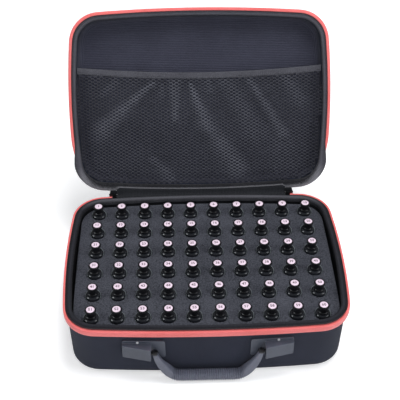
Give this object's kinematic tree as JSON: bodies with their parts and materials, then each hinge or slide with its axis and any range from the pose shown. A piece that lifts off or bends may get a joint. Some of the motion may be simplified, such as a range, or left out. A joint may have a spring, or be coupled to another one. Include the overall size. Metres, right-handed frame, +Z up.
{
  "type": "essential oil storage case",
  "caption": "Zipped moulded carrying case with a foam insert full of small capped oil bottles, a mesh pocket in the lid and a swinging handle.",
  "frame": {"origin": "middle of the flat underside of the base", "axes": "+Z up, -Y towards the carrying handle at the front, the lid hinges at the back on +Y, +X to the right seen from the front"},
  "size_m": [0.366, 0.4084, 0.3163],
  "materials": {
    "case_fabric": "matte",
    "lining_fabric": "matte",
    "binding_fabric": "matte",
    "zip_tape_red": "satin",
    "zip_coil_dark": "satin",
    "slider_metal": "satin",
    "pull_tab_plastic": "satin",
    "foam_dark": "matte",
    "bottle_glass": "gloss",
    "cap_plastic": "gloss",
    "label_paper": "matte",
    "handle_plastic": "satin",
    "bracket_plastic": "satin",
    "plate_plastic": "matte",
    "rivet_metal": "satin",
    "pin_plastic": "satin",
    "net_mesh": "matte",
    "elastic_band": "matte"
  },
  "bodies": {
    "base": {"base_shell": "case_fabric", "base_lining": "lining_fabric", "base_rim_binding": "binding_fabric", "base_zip_tape": "zip_tape_red", "base_zip_coil": "zip_coil_dark", "foam_base_pad": "foam_dark", "foam_insert": "foam_dark", "bottles_row_1": "bottle_glass", "caps_row_1": "cap_plastic", "cap_labels_row_1": "label_paper", "bottles_row_2": "bottle_glass", "caps_row_2": "cap_plastic", "cap_labels_row_2": "label_paper", "bottles_row_3": "bottle_glass", "caps_row_3": "cap_plastic", "cap_labels_row_3": "label_paper", "bottles_row_4": "bottle_glass", "caps_row_4": "cap_plastic", "cap_labels_row_4": "label_paper", "bottles_row_5": "bottle_glass", "caps_row_5": "cap_plastic", "cap_labels_row_5": "label_paper", "bottles_row_6": "bottle_glass", "caps_row_6": "cap_plastic", "cap_labels_row_6": "label_paper", "handle_bracket_right": "bracket_plastic", "handle_bracket_left": "bracket_plastic", "backing_plate_right": "plate_plastic", "backing_plate_left": "plate_plastic", "bracket_rivets": "rivet_metal", "hinge_strip": "case_fabric"},
    "lid": {"lid_shell": "case_fabric", "lid_lining": "lining_fabric", "lid_rim_binding": "binding_fabric", "lid_zip_tape": "zip_tape_red", "lid_zip_coil": "zip_coil_dark", "pocket_net": "net_mesh", "pocket_elastic": "elastic_band"},
    "handle": {"handle_grip": "handle_plastic", "handle_pin_right": "pin_plastic", "handle_pin_left": "pin_plastic"},
    "slider_right": {"zip_slider_right": "slider_metal"},
    "slider_left": {"zip_slider_left": "slider_metal"},
    "tab_right": {"pull_tab_right": "pull_tab_plastic"},
    "tab_left": {"pull_tab_left": "pull_tab_plastic"},
    "bottle": {"lift_bottle": "bottle_glass"},
    "cap": {"lift_bottle_cap": "cap_plastic", "lift_bottle_label": "label_paper"}
  },
  "joints": [
    {"name": "lid_hinge", "type": "hinge", "parent": "base", "child": "lid", "pos_m": [0, 0.1293, 0.09015], "axis": [-1, 0, 0], "range_deg": [-118.4, 61.6], "deforming": ["hinge_strip"]},
    {"name": "handle_swing", "type": "hinge", "parent": "base", "child": "handle", "pos_m": [0, -0.132, 0.054], "axis": [-1, 0, 0], "range_deg": [-1.5, 170]},
    {"name": "slider_right_run", "type": "hinge", "parent": "base", "child": "slider_right", "pos_m": [0.13649, 0.08143, 0.0877], "axis": [0, 0, -1], "range_deg": [0, 90]},
    {"name": "slider_left_run", "type": "hinge", "parent": "base", "child": "slider_left", "pos_m": [-0.13649, 0.08143, 0.0877], "axis": [0, 0, 1], "range_deg": [0, 90]},
    {"name": "pull_tab_right_swing", "type": "hinge", "parent": "slider_right", "child": "tab_right", "pos_m": [0.1255, 0.13092, 0.0877], "axis": [-1, 0, 0], "range_deg": [-60, 0]},
    {"name": "pull_tab_left_swing", "type": "hinge", "parent": "slider_left", "child": "tab_left", "pos_m": [-0.1255, 0.13092, 0.0877], "axis": [-1, 0, 0], "range_deg": [-60, 0]},
    {"name": "bottle_lift", "type": "slide", "parent": "base", "child": "bottle", "axis": [0, 0, 1], "range_m": [0, 0.085]},
    {"name": "cap_turn", "type": "hinge", "parent": "bottle", "child": "cap", "pos_m": [-0.144, -0.09625, 0.09], "axis": [0, 0, 1], "range_deg": [0, 540]}
  ]
}
